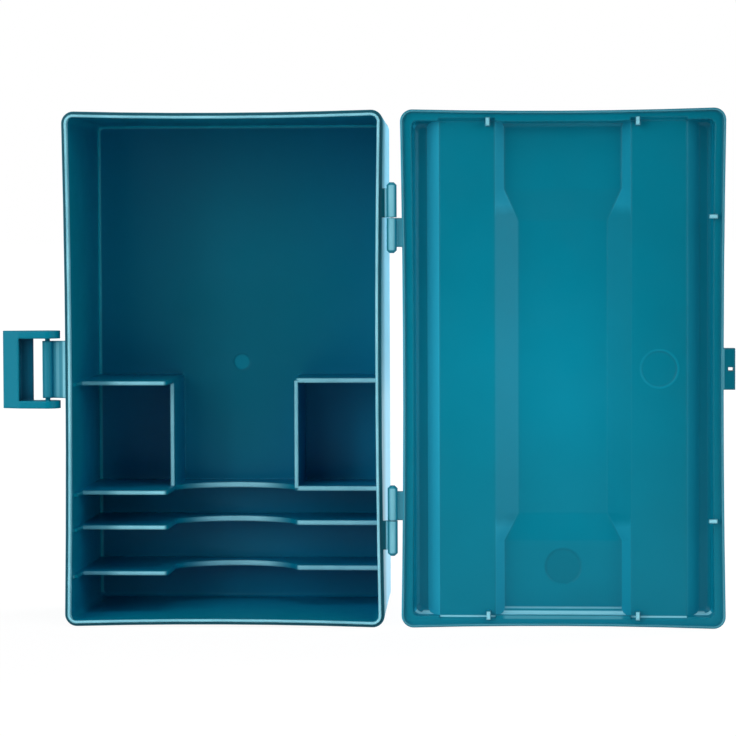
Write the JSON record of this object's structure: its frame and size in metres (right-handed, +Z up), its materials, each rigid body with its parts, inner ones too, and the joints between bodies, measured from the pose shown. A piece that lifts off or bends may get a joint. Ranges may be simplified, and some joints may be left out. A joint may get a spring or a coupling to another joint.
{
  "type": "saw blade storage case",
  "caption": "Two-shell moulded plastic case for saw blades, a deep divided tray and a shallow ribbed lid on pinned side hinges, with a swing latch.",
  "frame": {"origin": "middle of the bounding box across and in depth, at the bottom of the open case as it stands", "axes": "+X from the latch across the tray to the lid, +Y from the open side into the shells, +Z up along the hinge line"},
  "size_m": [0.365, 0.096, 0.2576],
  "materials": {
    "case_plastic": "satin moulded polypropylene, teal",
    "latch_plastic": "satin moulded polypropylene, teal",
    "pin_steel": "plain drawn wire"
  },
  "bodies": {
    "tray_body": {"tray": "case_plastic", "upper_hinge_pin": "pin_steel", "lower_hinge_pin": "pin_steel"},
    "lid_body": {"lid": "case_plastic"},
    "latch_body": {"latch": "latch_plastic", "latch_pin": "latch_plastic"}
  },
  "joints": [
    {"name": "lid_hinge", "type": "hinge", "parent": "tray_body", "child": "lid_body", "pos_m": [0.01305, -0.04553, 0.12882], "axis": [0, 0, -1], "range_deg": [0, 180]},
    {"name": "latch_pivot", "type": "hinge", "parent": "tray_body", "child": "latch_body", "pos_m": [-0.16025, -0.04152, 0.12882], "axis": [0, 0, 1], "range_deg": [-90, 90]}
  ]
}
